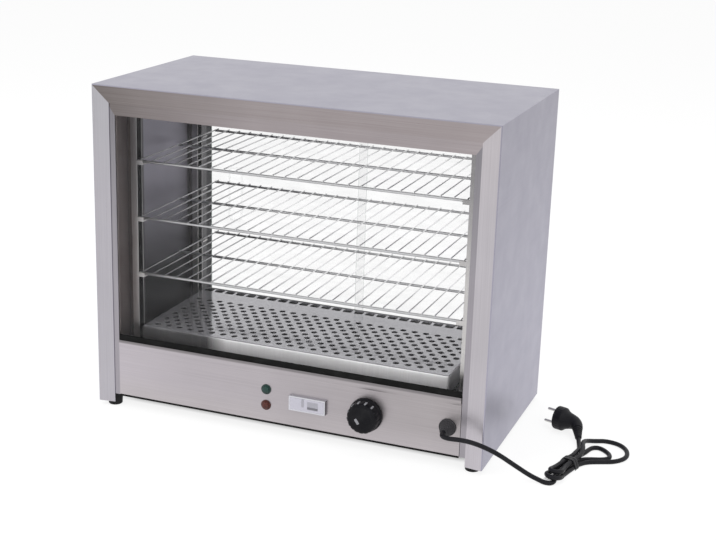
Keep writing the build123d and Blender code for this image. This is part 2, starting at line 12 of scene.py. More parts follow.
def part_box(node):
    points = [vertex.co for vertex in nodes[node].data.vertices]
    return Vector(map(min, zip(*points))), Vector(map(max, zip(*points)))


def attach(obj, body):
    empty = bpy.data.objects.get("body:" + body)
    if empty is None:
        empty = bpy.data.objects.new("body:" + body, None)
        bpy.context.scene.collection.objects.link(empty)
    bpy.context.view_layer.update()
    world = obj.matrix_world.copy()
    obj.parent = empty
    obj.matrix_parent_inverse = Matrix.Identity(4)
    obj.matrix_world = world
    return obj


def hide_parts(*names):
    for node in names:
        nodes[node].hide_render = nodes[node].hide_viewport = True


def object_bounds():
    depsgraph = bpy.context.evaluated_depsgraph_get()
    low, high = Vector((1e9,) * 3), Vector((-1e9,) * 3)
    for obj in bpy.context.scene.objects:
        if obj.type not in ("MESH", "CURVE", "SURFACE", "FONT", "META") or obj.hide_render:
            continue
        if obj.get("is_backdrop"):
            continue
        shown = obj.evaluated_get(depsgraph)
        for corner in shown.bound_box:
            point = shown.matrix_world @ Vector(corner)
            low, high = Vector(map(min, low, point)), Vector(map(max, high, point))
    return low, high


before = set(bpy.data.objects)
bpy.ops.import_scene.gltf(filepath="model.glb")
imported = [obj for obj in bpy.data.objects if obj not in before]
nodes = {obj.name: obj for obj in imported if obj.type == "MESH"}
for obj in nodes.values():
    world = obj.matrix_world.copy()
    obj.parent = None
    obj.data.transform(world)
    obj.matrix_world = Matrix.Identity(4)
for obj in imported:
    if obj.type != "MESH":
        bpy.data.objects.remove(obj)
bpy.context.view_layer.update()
scene = bpy.context.scene
MM = 0.001

# ---- camera, at the photograph's viewing angle
IMAGE_W = 716
FOCAL_PX = 1406.88
SENSOR = 36.0
CAMERA_SPOT = (0.7941, -1.9642, 0.8837)
CAMERA_TURN = (20.53, 17.21, 1.8077)
azimuth, elevation, roll = (math.radians(v) for v in CAMERA_TURN)
back = Vector((
    math.sin(azimuth) * math.cos(elevation),
    -math.cos(azimuth) * math.cos(elevation),
    math.sin(elevation),
))
level_right = Vector((math.cos(azimuth), math.sin(azimuth), 0))
level_up = back.cross(level_right)
cam_right = level_right * math.cos(roll) + level_up * math.sin(roll)
cam_up = level_up * math.cos(roll) - level_right * math.sin(roll)
camera_data = bpy.data.cameras.new("camera")
camera_data.sensor_width = SENSOR
camera_data.lens = FOCAL_PX / IMAGE_W * SENSOR
camera = bpy.data.objects.new("camera", camera_data)
scene.collection.objects.link(camera)
camera.matrix_world = Matrix.Translation(CAMERA_SPOT) @ Matrix((cam_right, cam_up, back)).transposed().to_4x4()
scene.camera = camera

# ---- cord: the route's points from the boot, then the hank's turns, then the tail to the plug
CORD_D = 7 * MM
CORD_ROUTE = [
    (262, -173.1, 66), (262, -181.6, 66), (267, -188.6, 66), (276, -190.6, 65.8), (287, -186.6, 65),
    (302, -179.6, 62), (320, -171.6, 55), (341, -162.6, 43.5), (364, -153.1, 26.5), (385.5, -143.8, 10.5),
    (399, -141.5, 5),
    # first strand and the inner loop
    (408, -144.6, 3.8), (417.4, -143, 3.6), (420.4, -133.6, 3.6), (417.2, -124.4, 3.6), (416.9, -115.1, 3.6),
    (418.5, -105.2, 3.6), (422.9, -87.7, 3.6), (427.6, -70.3, 3.6), (433, -56.2, 3.6), (440.5, -43.5, 3.6),
    (455, -36.6, 3.6), (468.5, -31.8, 3.6), (477.5, -24, 3.6), (476, -10.5, 3.6), (466, 2, 3.6), (455.5, 9, 3.6),
    (446.5, 5.5, 3.6), (442, -6, 3.6), (439.3, -19, 3.6), (434, -32, 3.6),
    # second strand and the front fold over the cord that comes in
    (425.4, -43, 3.6), (420.3, -58.2, 3.6), (415.7, -75.6, 3.6), (411.8, -91.1, 3.6), (409, -101.7, 3.8),
    (406.8, -111.5, 5.4), (406.2, -120.6, 8.4), (406.9, -130.1, 10.8), (412.6, -138.4, 11.2), (421.1, -139.2, 11.2),
    (427, -132.1, 9.4), (427.2, -119.8, 5.2), (427.4, -108, 3.6),
    # third strand and the outer loop
    (430.9, -93.9, 3.6), (435.3, -76.4, 3.6), (439.7, -63.1, 3.6), (449, -50, 3.6), (467, -40.8, 3.6),
    (488.5, -31, 3.6), (501.5, -9.5, 3.6), (497, 17, 3.6), (482, 34.5, 3.6), (460, 39, 3.6), (445, 30, 4.2),
    (435, 18.5, 7.6), (432, 4.5, 11.6), (433.5, -9, 12.8), (437.2, -23, 12.8), (438.6, -37, 11.8),
    # fourth strand on top, its fold and the fifth strand
    (437.5, -52.2, 11.4), (433.5, -65.7, 11.4), (430.1, -79.2, 11.4), (427.5, -91, 11.4), (426.6, -101, 11.6),
    (426.9, -110.4, 12.8), (427.4, -115.7, 14), (427.2, -123.3, 15.6), (421.3, -129.4, 16.3), (413.1, -127.5, 16),
    (409.7, -119.9, 14.9), (411.3, -112.6, 13.4), (413.2, -104.9, 12.3), (415.3, -96.1, 11.5), (417.2, -88.4, 11.4),
    (420.4, -76.8, 11.4), (423.8, -63.2, 11.4), (428.1, -51.9, 11.4),
    # tail to the plug
    (429.2, -42, 11.2), (430.4, -31, 10.4), (430.2, -20.5, 7.6), (428.8, -10.5, 5.4), (426.6, -0.5, 4.7),
    (424, 9.6, 5.4), (420.7, 20.3, 8),
]
cord_curve = bpy.data.curves.new("cord_line", "CURVE")
cord_curve.dimensions = "3D"
cord_curve.bevel_depth = CORD_D / 2
cord_curve.bevel_resolution = 5
cord_curve.resolution_u = 8
cord_curve.use_fill_caps = True
cord_spline = cord_curve.splines.new("NURBS")
cord_spline.points.add(len(CORD_ROUTE) - 1)
for point, spot in zip(cord_spline.points, CORD_ROUTE):
    point.co = (*(v * MM for v in spot), 1)
cord_spline.order_u = 3
cord_spline.use_endpoint_u = True
cord = bpy.data.objects.new("cord_line", cord_curve)
scene.collection.objects.link(cord)


# ---- shader helpers
def put(tree, kind, inputs=None, **settings):
    """Add a node, set its properties and its inputs, which are values or other nodes' sockets."""
    node = tree.nodes.new(kind)
    for key, value in settings.items():
        setattr(node, key, value)
    for key, value in (inputs or {}).items():
        if isinstance(value, bpy.types.NodeSocket):
            tree.links.new(value, node.inputs[key])
        else:
            node.inputs[key].default_value = value
    return node


def rgba(colour):
    return (*colour, 1.0)


def scaled(colour, factor):
    return tuple(min(1.0, c * factor) for c in colour)


def start_material(name, **sockets):
    """A node material with a Principled shader; constant values go straight onto its sockets."""
    material = bpy.data.materials.new(name)
    material.use_nodes = True
    tree = material.node_tree
    shader = tree.nodes["Principled BSDF"]
    for key, value in sockets.items():
        shader.inputs[key.replace("_", " ")].default_value = value
    return material, tree, shader


def object_coords(tree):
    return put(tree, "ShaderNodeTexCoord").outputs["Object"]


def noise(tree, vector, scale, detail=2.0, roughness=0.5):
    return put(tree, "ShaderNodeTexNoise", {
        "Vector": vector, "Scale": scale, "Detail": detail, "Roughness": roughness,
    }).outputs["Fac"]


def spread(tree, value, low, high, to_low, to_high):
    return put(tree, "ShaderNodeMapRange", {
        "Value": value, "From Min": low, "From Max": high, "To Min": to_low, "To Max": to_high,
    }).outputs["Result"]


def blend(tree, factor, a, b):
    """Colour mix; a and b are colours or sockets."""
    node = put(tree, "ShaderNodeMix", data_type="RGBA")
    pairs = ((0, factor), (6, a), (7, b))
    for index, value in pairs:
        if isinstance(value, bpy.types.NodeSocket):
            tree.links.new(value, node.inputs[index])
        elif index == 0:
            node.inputs[0].default_value = value
        else:
            node.inputs[index].default_value = rgba(value)
    return node.outputs[2]


def bump(tree, height, strength, distance):
    return put(tree, "ShaderNodeBump", {
        "Height": height, "Strength": strength, "Distance": distance,
    }).outputs["Normal"]


GRAIN = {"x": (5.0, 900.0, 900.0), "y": (900.0, 5.0, 900.0), "z": (900.0, 900.0, 5.0)}


def steel(name, colour, grain, rough, fades=(), drift=0.05, relief=0.06, edge=1.0, metallic=1.0):
    """Brushed stainless sheet: fine grain lines along one axis, broad drift in tone and faint smudges.

    Each of fades is (axis, from, to, colour): painted reflection and painted shade, the colour reached along that
    axis. edge dims the sheen at flat angles.
    """
    material, tree, shader = start_material(name, Metallic=metallic, Specular_Tint=rgba((edge, edge, edge)))
    coords = object_coords(tree)
    stretched = put(tree, "ShaderNodeMapping", {"Vector": coords, "Scale": GRAIN[grain]}).outputs["Vector"]
    lines = noise(tree, stretched, 1.0, 4.0, 0.65)
    broad = noise(tree, coords, 4.5, 3.0, 0.55)
    smudge = noise(tree, coords, 22.0, 4.0, 0.6)
    tone = colour
    parts = put(tree, "ShaderNodeSeparateXYZ", {"Vector": coords})
    # painted reflections and painted shade, laid along the sheet by position
    for axis, low, high, far in fades:
        tone = blend(tree, spread(tree, parts.outputs[axis], low, high, 0.0, 1.0), tone, far)
    dark = blend(tree, 0.10, tone, (0.0, 0.0, 0.0))
    light = blend(tree, 0.06, tone, (1.0, 1.0, 1.0))
    lined = blend(tree, spread(tree, lines, 0.3, 0.7, 0.0, 1.0), dark, light)
    shaded = blend(tree, spread(tree, broad, 0.3, 0.7, 0.0, drift * 2), lined, (0.0, 0.0, 0.0))
    tree.links.new(shaded, shader.inputs["Base Color"])
    worn = put(tree, "ShaderNodeMath", {0: spread(tree, lines, 0.3, 0.7, rough - 0.05, rough + 0.05),
                                        1: spread(tree, smudge, 0.35, 0.7, -0.03, 0.05)}, operation="ADD")
    tree.links.new(worn.outputs[0], shader.inputs["Roughness"])
    tree.links.new(bump(tree, lines, relief, 0.0003), shader.inputs["Normal"])
    return material


def speckled(name, colour, rough, grit, depth, variation=0.25, dust=0.012, **sockets):
    """Moulded rubber or plastic: fine grit in colour, roughness and relief, and a little dust."""
    material, tree, shader = start_material(name, **sockets)
    coords = object_coords(tree)
    fine = noise(tree, coords, grit, 3.0, 0.6)
    wide = noise(tree, coords, grit / 30, 3.0, 0.55)
    base = blend(tree, spread(tree, fine, 0.3, 0.7, 0.0, 1.0), scaled(colour, 1 - variation),
                 scaled(colour, 1 + variation))
    dusty = blend(tree, spread(tree, wide, 0.4, 0.75, 0.0, dust), base, (0.5, 0.5, 0.5))
    tree.links.new(dusty, shader.inputs["Base Color"])
    tree.links.new(spread(tree, wide, 0.3, 0.7, rough - 0.06, rough + 0.08), shader.inputs["Roughness"])
    tree.links.new(bump(tree, fine, 0.25, depth), shader.inputs["Normal"])
    return material


# ---- materials; the fades are painted reflections and painted shade: the lighter and darker stretches along a sheet, not the steel's own colour
LILAC = (0.378, 0.367, 0.444)
outer_steel_x = steel("outer_steel_long", LILAC, "y", 0.36, drift=0.01)
# painted reflection: the side panels darker towards the top
outer_steel_z = steel("outer_steel_upright", (0.382, 0.37, 0.456), "y", 0.38,
                      fades=(("Z", 0.15, 0.5, (0.327, 0.314, 0.385)),), drift=0.01)
# painted reflection: the side bezels are lighter copies of one steel, the right one lighter than the left, both
# lighter towards the top and the right one towards the bottom too
left_bezel = steel("left_bezel_steel", (0.485, 0.465, 0.507), "z", 0.34,
                   fades=(("Z", 0.35, 0.48, (0.51, 0.5, 0.535)),))
right_bezel = steel("right_bezel_steel", (0.522, 0.495, 0.53), "z", 0.34,
                    fades=(("Z", 0.35, 0.48, (0.548, 0.513, 0.54)), ("Z", 0.2, 0.06, (0.6, 0.565, 0.61))))
# painted shade: the top bezel's front is a darker brown copy of the steel, for a face tilted down, darkest at the
# left end
top_bezel = steel("bezel_steel_long", (0.195, 0.17, 0.164), "x", 0.34,
                  fades=(("X", -0.3, -0.05, (0.347, 0.305, 0.309)), ("X", -0.05, 0.25, (0.374, 0.327, 0.332))))
# painted shade: the lip darker towards the top
lip_steel = steel("lip_steel", (0.372, 0.348, 0.383), "z", 0.34, fades=(("Z", 0.2, 0.466, (0.262, 0.25, 0.275)),))
# painted shade: the lip's top part is a darker brown copy of the lip steel, darkest at the left end
lip_top = steel("lip_steel_long", (0.196, 0.171, 0.167), "x", 0.34,
                fades=(("X", -0.28, -0.05, (0.376, 0.332, 0.342)), ("X", 0.0, 0.27, (0.404, 0.357, 0.368))))
# painted reflection: the control panel darker towards the right and lighter near its bottom
panel_steel = steel("panel_steel", (0.532, 0.491, 0.53), "x", 0.36,
                    fades=(("X", -0.28, 0.26, (0.44, 0.405, 0.416)), ("Z", 0.06, 0.028, (0.53, 0.49, 0.509))))
# painted reflection and painted shade: the left wall near black low down and lighter towards the top, with painted
# shadow bands beside the posts and lighter and darker bands along its depth
wall_steel = steel("wall_steel", (0.03, 0.03, 0.032), "z", 0.5,
                   fades=(("Z", 0.185, 0.36, (0.29, 0.278, 0.326)), ("Y", -0.064, -0.068, (0.08, 0.078, 0.084)),
                          ("Y", -0.1155, -0.1165, (0.17, 0.14, 0.137)), ("Y", 0.078, 0.083, (0.06, 0.059, 0.062)),
                          ("Y", 0.1, 0.105, (0.13, 0.127, 0.133)), ("Y", 0.131, 0.136, (0.17, 0.166, 0.174)),
                          ("Y", 0.149, 0.153, (0.06, 0.059, 0.062))), relief=0.004, edge=0.3)
ceiling_steel = steel("ceiling_steel", (0.8, 0.79, 0.81), "x", 0.3)
# painted shade: the cavity floor near black under the tray
floor_steel = steel("floor_steel", (0.5, 0.49, 0.5), "x", 0.3,
                    fades=(("Y", -0.113, -0.108, (0.03, 0.03, 0.032)),), relief=0.01)
# painted reflection: the right wall is a much lighter copy of the left wall's steel
right_wall_steel = steel("right_wall_steel", (0.62, 0.61, 0.64), "z", 0.4)
# painted reflection: the tray lighter towards its left end
tray_steel = steel("tray_steel", (0.37, 0.365, 0.39), "x", 0.12,
                   fades=(("X", -0.1, -0.24, (0.43, 0.425, 0.45)),), relief=0.01, metallic=0.7)
# painted reflection and painted shade: the tray's rolled edge dark at the left end and light from the middle to the
# right, its rear part near black as painted shade behind the slots
tray_side = steel("tray_side", (0.05, 0.048, 0.05), "z", 0.5,
                  fades=(("X", -0.15, -0.115, (0.86, 0.85, 0.86)), ("X", 0.0, 0.2, (1.0, 0.99, 1.0)),
                         ("Y", 0.1, 0.105, (0.02, 0.02, 0.02))), relief=0.02, metallic=0.4)
# painted shade: the posts darker towards the top, with a painted shadow line where a left post's face meets the wall
post_steel = steel("post_steel", (0.6, 0.582, 0.576), "z", 0.32,
                   fades=(("Z", 0.25, 0.42, (0.27, 0.262, 0.268)), ("X", -0.2755, -0.2762, (0.17, 0.15, 0.147))))
# painted shade: near-black steel inside the post channels
post_channel_shade = steel("post_channel_shade", (0.015, 0.0145, 0.0165), "z", 0.4, edge=0.3)
# painted reflection and painted shade: the hem carries the panel's painted reflection and is darker along its top
# edge
hem_steel = steel("hem_steel", (0.532, 0.491, 0.53), "x", 0.36,
                  fades=(("X", -0.28, 0.26, (0.44, 0.405, 0.416)), ("Z", 0.1095, 0.1115, (0.25, 0.23, 0.24))))
zinc_steel = steel("zinc_steel", (0.42, 0.42, 0.43), "x", 0.45, drift=0.12)
rear_steel = steel("rear_steel", LILAC, "x", 0.36)
track_metal = steel("track_metal", (0.6, 0.6, 0.61), "x", 0.38)
# painted reflection: the shelf wires dark over the left wall, light elsewhere
wire_metal = steel("wire_metal", (0.3, 0.3, 0.31), "y", 0.24,
                   fades=(("X", -0.2, -0.13, (0.95, 0.95, 0.96)),), relief=0.01)
rod_metal = steel("rod_metal", (0.6, 0.6, 0.61), "x", 0.34)
heater_metal = steel("heater_metal", (0.09, 0.085, 0.08), "x", 0.5, drift=0.3)
shaft_metal = steel("shaft_metal", (0.55, 0.55, 0.55), "y", 0.3)
pin_metal = steel("pin_metal", (0.7, 0.69, 0.66), "x", 0.22)
screw_metal = steel("screw_metal", (0.5, 0.5, 0.51), "x", 0.3)
# painted shade: the plate's rim dark along its right side
plate_metal = steel("plate_metal", (0.74, 0.74, 0.79), "x", 0.4, fades=(("X", 0.0714, 0.0718, (0.25, 0.24, 0.26)),))
gland_rubber = speckled("gland_rubber", (0.026, 0.025, 0.028), 0.55, 1400.0, 0.0002, Specular_IOR_Level=0.25)
rubber = speckled("black_rubber", (0.008, 0.008, 0.009), 0.6, 1400.0, 0.0002, Specular_IOR_Level=0.2)
seal_rubber = speckled("seal_rubber", (0.005, 0.005, 0.005), 0.6, 1400.0, 0.0002, Specular_IOR_Level=0.08)
cord_sheath = speckled("cord_sheath", (0.005, 0.005, 0.007), 0.42, 1100.0, 0.00012, Specular_IOR_Level=0.18)
black_plastic = speckled("black_plastic", (0.003, 0.003, 0.0045), 0.32, 1600.0, 0.0001, Specular_IOR_Level=0.13)
tie_plastic = speckled("tie_plastic", (0.01, 0.01, 0.012), 0.4, 1200.0, 0.0001, Specular_IOR_Level=0.3)
pale_plastic = speckled("pale_plastic", (0.62, 0.6, 0.54), 0.5, 900.0, 0.0001, variation=0.06)
plate_face = speckled("plate_face", (0.38, 0.372, 0.425), 0.35, 700.0, 0.00005, variation=0.03)
plate_field = speckled("plate_field", (0.27, 0.266, 0.3), 0.4, 700.0, 0.00005, variation=0.05)
plate_bar = speckled("plate_bar", (0.12, 0.118, 0.135), 0.4, 700.0, 0.00005, variation=0.05)
mark_paint = speckled("mark_paint", (0.19, 0.19, 0.205), 0.55, 900.0, 0.00005, variation=0.08)


def lens(name, colour, deep):
    """Coloured lamp lens: prisms moulded inside, seen as cells that vary in depth of colour."""
    material, tree, shader = start_material(name, IOR=1.5, Specular_IOR_Level=0.4)
    coords = object_coords(tree)
    cells = put(tree, "ShaderNodeTexVoronoi", {"Vector": coords, "Scale": 520.0}).outputs["Distance"]
    tree.links.new(blend(tree, spread(tree, cells, 0.0, 0.8, 0.0, 1.0), colour, deep), shader.inputs["Base Color"])
    tree.links.new(spread(tree, cells, 0.0, 0.8, 0.12, 0.3), shader.inputs["Roughness"])
    tree.links.new(bump(tree, cells, 0.35, 0.0006), shader.inputs["Normal"])
    return material


green_lens = lens("green_lens", (0.01, 0.046, 0.038), (0.005, 0.02, 0.017))
red_lens = lens("red_lens", (0.09, 0.018, 0.011), (0.036, 0.008, 0.006))


def clear_sheet(name, tint, cover, rough):
    """Clear sheet: mostly see-through, with a faint tint, a gloss and a few dust streaks."""
    material, tree, shader = start_material(name, IOR=1.5, Specular_IOR_Level=0.12)
    coords = object_coords(tree)
    wiped = put(tree, "ShaderNodeMapping", {"Vector": coords, "Scale": (3.0, 3.0, 14.0)}).outputs["Vector"]
    dust = noise(tree, wiped, 6.0, 5.0, 0.6)
    shader.inputs["Base Color"].default_value = rgba(tint)
    tree.links.new(spread(tree, dust, 0.35, 0.75, cover * 0.6, cover * 1.6), shader.inputs["Alpha"])
    tree.links.new(spread(tree, dust, 0.3, 0.7, rough, rough + 0.03), shader.inputs["Roughness"])
    return material


glass = clear_sheet("clear_glass", (0.72, 0.72, 0.74), 0.012, 0.01)
door_glass = clear_sheet("door_glass", (0.15, 0.15, 0.155), 0.05, 0.01)
glass_edge = clear_sheet("glass_edge", (0.45, 0.6, 0.55), 0.25, 0.08)
clear_pull = clear_sheet("clear_pull", (0.8, 0.82, 0.84), 0.05, 0.05)

NODE_MATERIALS = {
    "rear_lower_panel": rear_steel, "lip_frame": lip_steel, "control_panel": panel_steel,
    "left_inner_wall": wall_steel, "right_inner_wall": right_wall_steel, "ceiling_panel": ceiling_steel,
    "cavity_floor": floor_steel, "base_plate": zinc_steel, "element_supports": zinc_steel,
    "front_left_upright": post_steel, "front_right_upright": post_steel, "rear_left_upright": post_steel,
    "rear_right_upright": post_steel, "front_glass": glass, "left_door_glass": door_glass,
    "right_door_glass": door_glass, "glass_seal": seal_rubber, "lower_door_track": track_metal,
    "upper_door_track": track_metal,
    "left_door_pull": clear_pull, "right_door_pull": clear_pull, "heating_element": heater_metal,
    "lamp_holders": black_plastic, "thermostat_body": black_plastic, "thermostat_shaft": shaft_metal,
    "terminal_block": pale_plastic, "gland_nut": black_plastic,
}
for name, material in NODE_MATERIALS.items():
    nodes[name].data.materials.clear()
    nodes[name].data.materials.append(material)
BEZEL_FACING = -0.97
LIP_TOP_Z = 0.471
CHANNEL_EDGE = 0.266
# the panels' front faces take the bezel steels: lit and shaded copies, as painted reflection and painted shade
for name, main, front in (
    ("top_panel", outer_steel_x, top_bezel),
    ("left_side_panel", outer_steel_z, left_bezel),
    ("right_side_panel", outer_steel_z, right_bezel),
):
    mesh = nodes[name].data
    mesh.materials.clear()
    mesh.materials.append(main)
    mesh.materials.append(front)
    for polygon in mesh.polygons:
        polygon.material_index = 1 if polygon.normal.y < BEZEL_FACING else 0
# the lip's top part takes its darker brown copy: painted shade
lip_mesh = nodes["lip_frame"].data
lip_mesh.materials.append(lip_top)
for polygon in lip_mesh.polygons:
    polygon.material_index = 1 if polygon.center.z > LIP_TOP_Z else 0
# the inside faces of each channel take the near-black steel: painted shade inside the channel
for name in ("front_left_upright", "front_right_upright", "rear_left_upright", "rear_right_upright"):
    mesh = nodes[name].data
    mesh.materials.append(post_channel_shade)
    front = min(vertex.co.y for vertex in mesh.vertices)
    rear = max(vertex.co.y for vertex in mesh.vertices)
    for polygon in mesh.polygons:
        outer = min(polygon.center.y - front, rear - polygon.center.y) < 0.5 * MM
        polygon.material_index = 1 if abs(polygon.center.x) > CHANNEL_EDGE and not outer else 0
for name in ("front_glass", "left_door_glass", "right_door_glass"):
    mesh = nodes[name].data
    mesh.materials.append(glass_edge)
    for polygon in mesh.polygons:
        polygon.material_index = 0 if abs(polygon.normal.y) > 0.5 else 1


# ---- mesh helpers
def new_piece(name, bm, material, body, smooth=35.0):
    """Turn a bmesh into a piece that rides on a body, shaded smooth below the given edge angle."""
    bmesh.ops.recalc_face_normals(bm, faces=bm.faces)
    mesh = bpy.data.meshes.new(name)
    bm.to_mesh(mesh)
    bm.free()
    for polygon in mesh.polygons:
        polygon.use_smooth = True
    mesh.set_sharp_from_angle(angle=math.radians(smooth))
    for entry in material if isinstance(material, (list, tuple)) else [material]:
        mesh.materials.append(entry)
    piece = bpy.data.objects.new(name, mesh)
    scene.collection.objects.link(piece)
    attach(piece, body)
    return piece


def axes(origin, z_dir, x_dir=(1, 0, 0)):
    """Matrix that stands local Z along z_dir at origin."""
    z = Vector(z_dir).normalized()
    x = Vector(x_dir)
    x = (x - x.dot(z) * z).normalized()
    turned = Matrix((x, z.cross(x), z)).transposed().to_4x4()
    return Matrix.Translation(origin) @ turned


def in_metres(profile):
    return [(a * MM, b * MM) for a, b in profile]


def lathe(bm, place, profile, sides=32, wave=None, paint=0):
    """Turn a profile of (height, radius), in metres, about local Z; wave(i, angle) scales a ring's radius."""
    rings = []
    for i, (height, radius) in enumerate(profile):
        if radius < 1e-7:
            rings.append([bm.verts.new(place @ Vector((0, 0, height)))])
            continue
        ring = []
        for k in range(sides):
            angle = 2 * math.pi * k / sides
            r = radius * (wave(i, angle) if wave else 1.0)
            ring.append(bm.verts.new(place @ Vector((r * math.cos(angle), r * math.sin(angle), height))))
        rings.append(ring)
    faces = []
    for low, high in zip(rings, rings[1:]):
        for k in range(sides):
            m = (k + 1) % sides
            if len(low) == 1 and len(high) == 1:
                continue
            if len(low) == 1:
                faces.append(bm.faces.new((low[0], high[m], high[k])))
            elif len(high) == 1:
                faces.append(bm.faces.new((low[k], low[m], high[0])))
            else:
                faces.append(bm.faces.new((low[k], low[m], high[m], high[k])))
    for ring in (rings[0], rings[-1]):
        if len(ring) > 1:
            faces.append(bm.faces.new(ring))
    for face in faces:
        face.material_index = paint


def bar(bm, start, end, radius, sides=12, paint=0):
    """Round bar between two points, with rounded ends."""
    start, end = Vector(start), Vector(end)
    length = (end - start).length
    e = radius * 0.45
    lathe(bm, axes(start, end - start, (0, 0, 1)), [
        (0, radius * 0.55), (e * 0.45, radius * 0.86), (e, radius),
        (length - e, radius), (length - e * 0.45, radius * 0.86), (length, radius * 0.55),
    ], sides, paint=paint)


def rounded_loop(low, high, radius, steps=4):
    """Corner points of a rounded rectangle, anticlockwise."""
    points = []
    corners = ((high[0], high[1], 0), (low[0], high[1], 90), (low[0], low[1], 180), (high[0], low[1], 270))
    for x, y, turn in corners:
        cx = x - radius if turn in (0, 270) else x + radius
        cy = y - radius if turn in (0, 90) else y + radius
        for k in range(steps + 1):
            angle = math.radians(turn + 90 * k / steps)
            points.append((cx + radius * math.cos(angle), cy + radius * math.sin(angle)))
    return points


def stack(bm, loops, place=Matrix(), close_top=True, close_bottom=True, paint=0):
    """Skin between loops of equal length, given as lists of 3-D points."""
    rows = [[bm.verts.new(place @ Vector(p)) for p in loop] for loop in loops]
    faces = []
    for low, high in zip(rows, rows[1:]):
        for k in range(len(low)):
            m = (k + 1) % len(low)
            faces.append(bm.faces.new((low[k], low[m], high[m], high[k])))
    if close_bottom:
        faces.append(bm.faces.new(rows[0]))
    if close_top:
        faces.append(bm.faces.new(rows[-1]))
    for face in faces:
        face.material_index = paint


def screw_head(bm, place, radius, height):
    """Pan head with a cross recess, on local Z."""
    sides, rings = 24, 7
    grid = []
    for i in range(rings + 1):
        r = radius * i / rings
        ring = []
        for k in range(sides if i else 1):
            angle = 2 * math.pi * k / sides
            x, y = r * math.cos(angle), r * math.sin(angle)
            z = height * (1 - 0.25 * (r / radius) ** 2) * (1.0 if i < rings else 0.55)
            if r < 0.62 * radius and min(abs(x), abs(y)) < 0.12 * radius:
                z -= 0.45 * height
            ring.append(bm.verts.new(place @ Vector((x, y, z))))
        grid.append(ring)
    foot = [bm.verts.new(place @ Vector((radius * math.cos(2 * math.pi * k / sides),
                                         radius * math.sin(2 * math.pi * k / sides), 0))) for k in range(sides)]
    grid.append(foot)
    for low, high in zip(grid, grid[1:]):
        for k in range(sides):
            m = (k + 1) % sides
            if len(low) == 1:
                bm.faces.new((low[0], high[k], high[m]))
            else:
                bm.faces.new((low[k], high[k], high[m], low[m]))
    bm.faces.new(foot)


# ---- wire shelves: round rods along X, round wires along Y welded on top
ROD_R = 2.1 * MM
WIRE_R = 1.05 * MM
ROD_REACH = 4 * MM
WIRE_COUNT = 27
WELD = 0.2 * MM
for name, body in (
    ("lower_wire_shelf", "lower_shelf"), ("middle_wire_shelf", "middle_shelf"), ("upper_wire_shelf", "upper_shelf"),
):
    low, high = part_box(name)
    bm = bmesh.new()
    rod_z = low.z + ROD_R
    wire_z = rod_z + ROD_R + WIRE_R - WELD
    rod_ys = (low.y + ROD_R, (low.y + high.y) / 2, high.y - ROD_R)
    for y in rod_ys:
        bar(bm, (low.x - ROD_REACH, y, rod_z), (high.x + ROD_REACH, y, rod_z), ROD_R, paint=1)
    for k in range(WIRE_COUNT):
        x = low.x + ROD_R + (high.x - low.x - 2 * ROD_R) * k / (WIRE_COUNT - 1)
        bar(bm, (x, low.y, wire_z), (x, high.y, wire_z), WIRE_R, 10)
    shelf = new_piece(name.replace("_wire_shelf", "_shelf_wires"), bm, [wire_metal, rod_metal], body,
                      60)
    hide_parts(name)

# ---- perforated tray: one folded sheet with round holes in staggered rows and a row of slots behind
SHEET = 1.2 * MM
HOLE_D = 10.2 * MM
HOLE_PITCH = 19.22 * MM
HOLE_ROWS = 11
ROW_STEP = 14.25 * MM
REAR_ROW = 57.2 * MM
HOLE_SHIFT = 3.4 * MM
HOLE_EDGE = 11 * MM
HOLE_SIDES = 16
SLOT_PITCH, SLOT_L, SLOT_W, SLOT_REAR = 19.7 * MM, 15.0 * MM, 13.4 * MM, 7.7 * MM
SLOT_SHIFT = 13.5 * MM
SLOT_R = 2.4 * MM
EDGE_R = 2.5 * MM
CORNER_R = 1.5 * MM
tray_low, tray_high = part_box("floor_tray")
tray_mid = (tray_low.x + tray_high.x) / 2


def tray_outline(inset, corner):
    """The tray's outline as seen from above, drawn in by an inset."""
    return rounded_loop((tray_low.x + inset, tray_low.y + inset), (tray_high.x - inset, tray_high.y - inset), corner)


def spots(pitch, offset, edge):
    """Places along the tray at a pitch, as far as the edge allows."""
    return [x for x in (tray_mid + offset + k * pitch for k in range(-15, 16))
            if tray_low.x + edge < x < tray_high.x - edge]


loops = [tray_outline(EDGE_R, CORNER_R)]
hole_angles = [a * 2 * math.pi / HOLE_SIDES for a in range(HOLE_SIDES)]
for row in range(HOLE_ROWS):
    y = tray_high.y - REAR_ROW - row * ROW_STEP
    for x in spots(HOLE_PITCH, HOLE_SHIFT + (0.5 - 0.5 * (row % 2)) * HOLE_PITCH, HOLE_EDGE):
        loops.append([(x + HOLE_D / 2 * math.cos(a), y + HOLE_D / 2 * math.sin(a)) for a in hole_angles])
for x in spots(SLOT_PITCH, SLOT_SHIFT, HOLE_EDGE):
    y = tray_high.y - SLOT_REAR
    loops.append(rounded_loop((x - SLOT_L / 2, y - SLOT_W / 2), (x + SLOT_L / 2, y + SLOT_W / 2), SLOT_R, 3))
bm = bmesh.new()
edges = []
rim_verts = None
for loop in loops:
    verts = [bm.verts.new((x, y, tray_high.z)) for x, y in loop]
    rim_verts = rim_verts or verts
    edges += [bm.edges.new((verts[k], verts[(k + 1) % len(verts)])) for k in range(len(verts))]
bmesh.ops.triangle_fill(bm, use_beauty=True, use_dissolve=False, edges=edges, normal=(0, 0, 1))
previous = rim_verts
